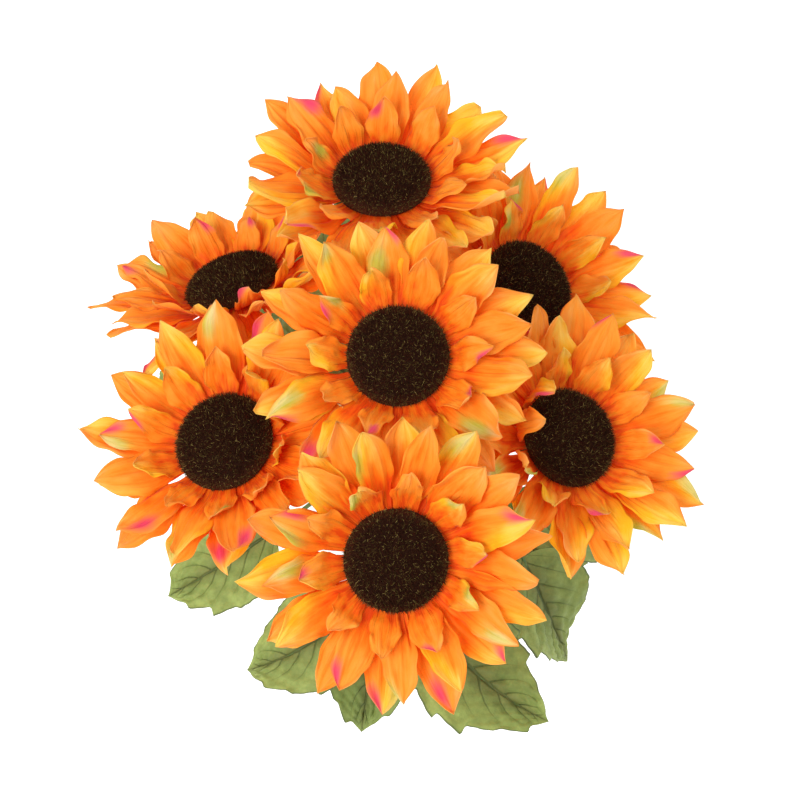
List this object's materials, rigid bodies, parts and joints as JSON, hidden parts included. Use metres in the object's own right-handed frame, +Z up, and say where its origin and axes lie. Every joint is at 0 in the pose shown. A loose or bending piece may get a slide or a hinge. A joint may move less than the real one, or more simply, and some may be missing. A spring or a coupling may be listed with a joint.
{
  "type": "artificial sunflower bush",
  "caption": "Artificial sunflower bush: a main stem forks into wired stems, each with an orange bloom round a dark seed disc, above green fabric leaves.",
  "frame": {"origin": "centre of the flat cut under the main stem, at ground level", "axes": "+Z up along the main stem; -Y towards the front bloom; +X to the right of someone who faces the bush from the front"},
  "size_m": [0.345, 0.3783, 0.4418],
  "materials": {
    "petal_fabric": "matte",
    "seed_pile": "matte",
    "leaf_fabric": "matte",
    "calyx_plastic": "satin",
    "stem_plastic": "satin"
  },
  "bodies": {
    "root": {"main_stem": "stem_plastic", "stem_front": "stem_plastic", "calyx_front": "calyx_plastic", "disc_front": "seed_pile", "petals_outer_front": "petal_fabric", "petals_middle_front": "petal_fabric", "petals_inner_front": "petal_fabric", "stem_crown": "stem_plastic", "calyx_crown": "calyx_plastic", "disc_crown": "seed_pile", "petals_outer_crown": "petal_fabric", "petals_middle_crown": "petal_fabric", "petals_inner_crown": "petal_fabric", "stem_left": "stem_plastic", "calyx_left": "calyx_plastic", "disc_left": "seed_pile", "petals_outer_left": "petal_fabric", "petals_middle_left": "petal_fabric", "petals_inner_left": "petal_fabric", "stem_right": "stem_plastic", "calyx_right": "calyx_plastic", "disc_right": "seed_pile", "petals_outer_right": "petal_fabric", "petals_middle_right": "petal_fabric", "petals_inner_right": "petal_fabric", "stem_back": "stem_plastic", "calyx_back": "calyx_plastic", "disc_back": "seed_pile", "petals_outer_back": "petal_fabric", "petals_middle_back": "petal_fabric", "petals_inner_back": "petal_fabric", "stem_back_left": "stem_plastic", "calyx_back_left": "calyx_plastic", "disc_back_left": "seed_pile", "petals_outer_back_left": "petal_fabric", "petals_middle_back_left": "petal_fabric", "petals_inner_back_left": "petal_fabric", "stem_back_right": "stem_plastic", "calyx_back_right": "calyx_plastic", "disc_back_right": "seed_pile", "petals_outer_back_right": "petal_fabric", "petals_middle_back_right": "petal_fabric", "petals_inner_back_right": "petal_fabric", "leaf_left_low": "leaf_fabric", "leaf_left_up": "leaf_fabric", "leaf_front_left": "leaf_fabric", "leaf_front_low": "leaf_fabric", "leaf_front_right": "leaf_fabric", "leaf_front_side": "leaf_fabric", "leaf_right_low": "leaf_fabric", "leaf_right_mid": "leaf_fabric", "leaf_right_up": "leaf_fabric", "leaf_crown_left": "leaf_fabric", "leaf_crown_right": "leaf_fabric", "leaf_back_left_in": "leaf_fabric", "leaf_back_left_out": "leaf_fabric", "leaf_back_side": "leaf_fabric", "leaf_back_out": "leaf_fabric", "leaf_back_right_out": "leaf_fabric"}
  },
  "joints": []
}
